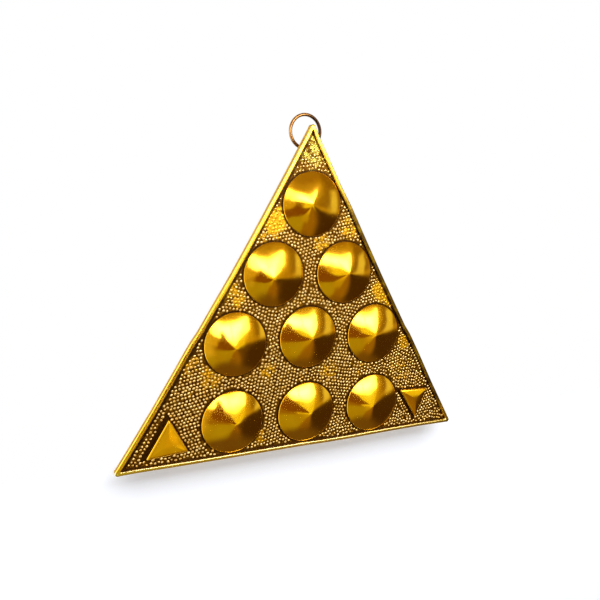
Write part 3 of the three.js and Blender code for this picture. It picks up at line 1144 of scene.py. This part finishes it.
# %% Dome
def dome_cloth():
    f = Finish("dome_cloth")
    x, y, z = f.axes()
    turn = x.maths("ARCTAN2", x, -y) * (180 / math.pi)
    rise = z.maths("ARCSINE", (z - CENTRE.z) / DOME_RADIUS) * (180 / math.pi)
    low = rise.step(-4, -13)
    bright_part = rise.step(-28, -20) * (turn.step(8, 12) * 0.8 + 0.2)
    gleam = f.mix(bright_part, (0.54, 0.42, 0.03), (1.1, 0.86, 0.08))
    behind = f.mix(rise.step(-30, 50), (0.60, 0.52, 0.38), (0.85, 0.77, 0.58))
    patches = (
        # Brown at the right, and paler further round.
        (turn.step(42, 54) * rise.step(-8, 0), (0.30, 0.18, 0.03)),
        (turn.step(74, 84) * rise.step(-20, 0), (0.50, 0.32, 0.12)),
        # Below the windows: brown, almost black at the right, olive at the left, a gleam between.
        (low, (0.34, 0.19, 0.02)),
        (low * turn.step(32, 50), (0.065, 0.032, 0.012)),
        (low * turn.step(14, 4) * rise.step(-15, -21), (0.46, 0.39, 0.03)),
        (turn.within(2, 20, 3) * rise.within(-34, -16, 4), gleam),
        # The dark ground far below, and pale gold at the left.
        (rise.step(-40, -56), (0.17, 0.10, 0.035)),
        (turn.step(-26, -36) * rise.step(-40, -20), (0.80, 0.66, 0.22)),
        # The golden window, the narrow one at the right, and the bright one with its middle.
        (turn.within(-6, 41, 2) * rise.within(-16, 11, 3), (1.03, 0.93, 0.09)),
        (turn.within(58, 70, 2.5) * rise.within(-7, 18, 3), (0.90, 0.84, 0.45)),
        (turn.within(-27, 40, 1) * rise.within(9, 27, 2.5), (7.5, 7.0, 6.0)),
        (turn.within(-16, 30, 8) * rise.within(14, 23, 4), (13.0, 13.0, 13.0)),
        # The plain back half, and a pale patch at the far left.
        (y.step(-0.2, 0.3), behind),
        (turn.within(-130, -58, 6) * rise.within(-45, 35, 8), (2.8, 2.6, 2.1)),
    )
    colour = f.mix(rise.step(26, 44), (0.70, 0.50, 0.05), (0.40, 0.24, 0.04))
    for where, paint in patches:
        colour = f.mix(where, colour, paint)
    return f.glow(colour)


def dome():
    clear_selection()
    bpy.ops.mesh.primitive_uv_sphere_add(segments=64, ring_count=32, radius=DOME_RADIUS, location=CENTRE)
    bpy.ops.object.transform_apply(location=True)
    piece = bpy.context.object
    piece.name = "dome"
    piece.data.materials.append(dome_cloth())
    only_mirrored(piece)


dome()
print("dome ready")

# %% [markdown]
# A thin dark bar hangs in the bright window, and a dark flag near the plaque shades the lower left of
# each window picture. They aren't painted on the dome, because what is near shows in another place
# in each boss. The flag is three flat cards, whose outlines are in millimetres.

# %% Bar and flag
BAR_DISTANCE = 1.15
BAR_PLACES = ((5, 29), (7, 22), (6, 15), (9, 8), (10, 8), (7, 15), (8, 22), (6, 29))
FLAG_Y = -0.25
FLAG_CARD_GAP = 2 * MM
FLAG_BODY = ((-98, -48), (-135, -95), (-148, -150), (-70, -168), (10, -165), (75, -135), (5, -104),
             (-38, -76), (-50, -48))
ROUND_CUTS = 24


def disc(centre_x, centre_z, radius):
    """Points of a round card."""
    angles = [2 * math.pi * i / ROUND_CUTS for i in range(ROUND_CUTS)]
    return [(centre_x + radius * math.cos(a), centre_z + radius * math.sin(a)) for a in angles]


FLAG_CARDS = (
    ("flag_head", disc(-75, -36, 25), (0.34, 0.20, 0.012)),
    ("flag_body", FLAG_BODY, (0.24, 0.095, 0.008)),
    ("flag_spot", disc(-76, -24, 8), (0.12, 0.07, 0.01)),
)
card("bar", [spot_at(*place, BAR_DISTANCE) for place in BAR_PLACES], (0.9, 0.65, 0.08))
for layer, (name, points, colour) in enumerate(FLAG_CARDS):
    depth = FLAG_Y + layer * FLAG_CARD_GAP
    card(name, [Vector((x * MM, depth, z * MM)) for x, z in points], colour)
print("bar and flag ready, cards:", 1 + len(FLAG_CARDS))

# %% [markdown]
# One white lamp hangs above, in front of the plaque, and is wide, because a small lamp would draw a
# hard shadow under the foot. Mirrors don't see it, since what they show is the dome's part.

# %% Lamp above
OVERHEAD_SPOT = CENTRE + Vector((0, -0.62, 0.75))
OVERHEAD_SIZE = (1.6, 0.6)
OVERHEAD_POWER = 17.0


def facing_in(spot):
    """The turn of a lamp at a place, upright and facing the plaque."""
    inwards = (CENTRE - spot).normalized()
    side = inwards.cross(Vector((0, 0, 1))).normalized()
    return Matrix((side, side.cross(inwards), -inwards)).transposed().to_euler()


def overhead_lamp():
    bpy.ops.object.light_add(type="AREA", location=OVERHEAD_SPOT, rotation=facing_in(OVERHEAD_SPOT))
    lamp = bpy.context.object
    lamp.name = "overhead"
    lamp.data.shape = "RECTANGLE"
    lamp.data.size, lamp.data.size_y = OVERHEAD_SIZE
    lamp.data.energy = OVERHEAD_POWER
    lamp.visible_camera = False
    lamp.visible_glossy = False


overhead_lamp()
print("studio ready")
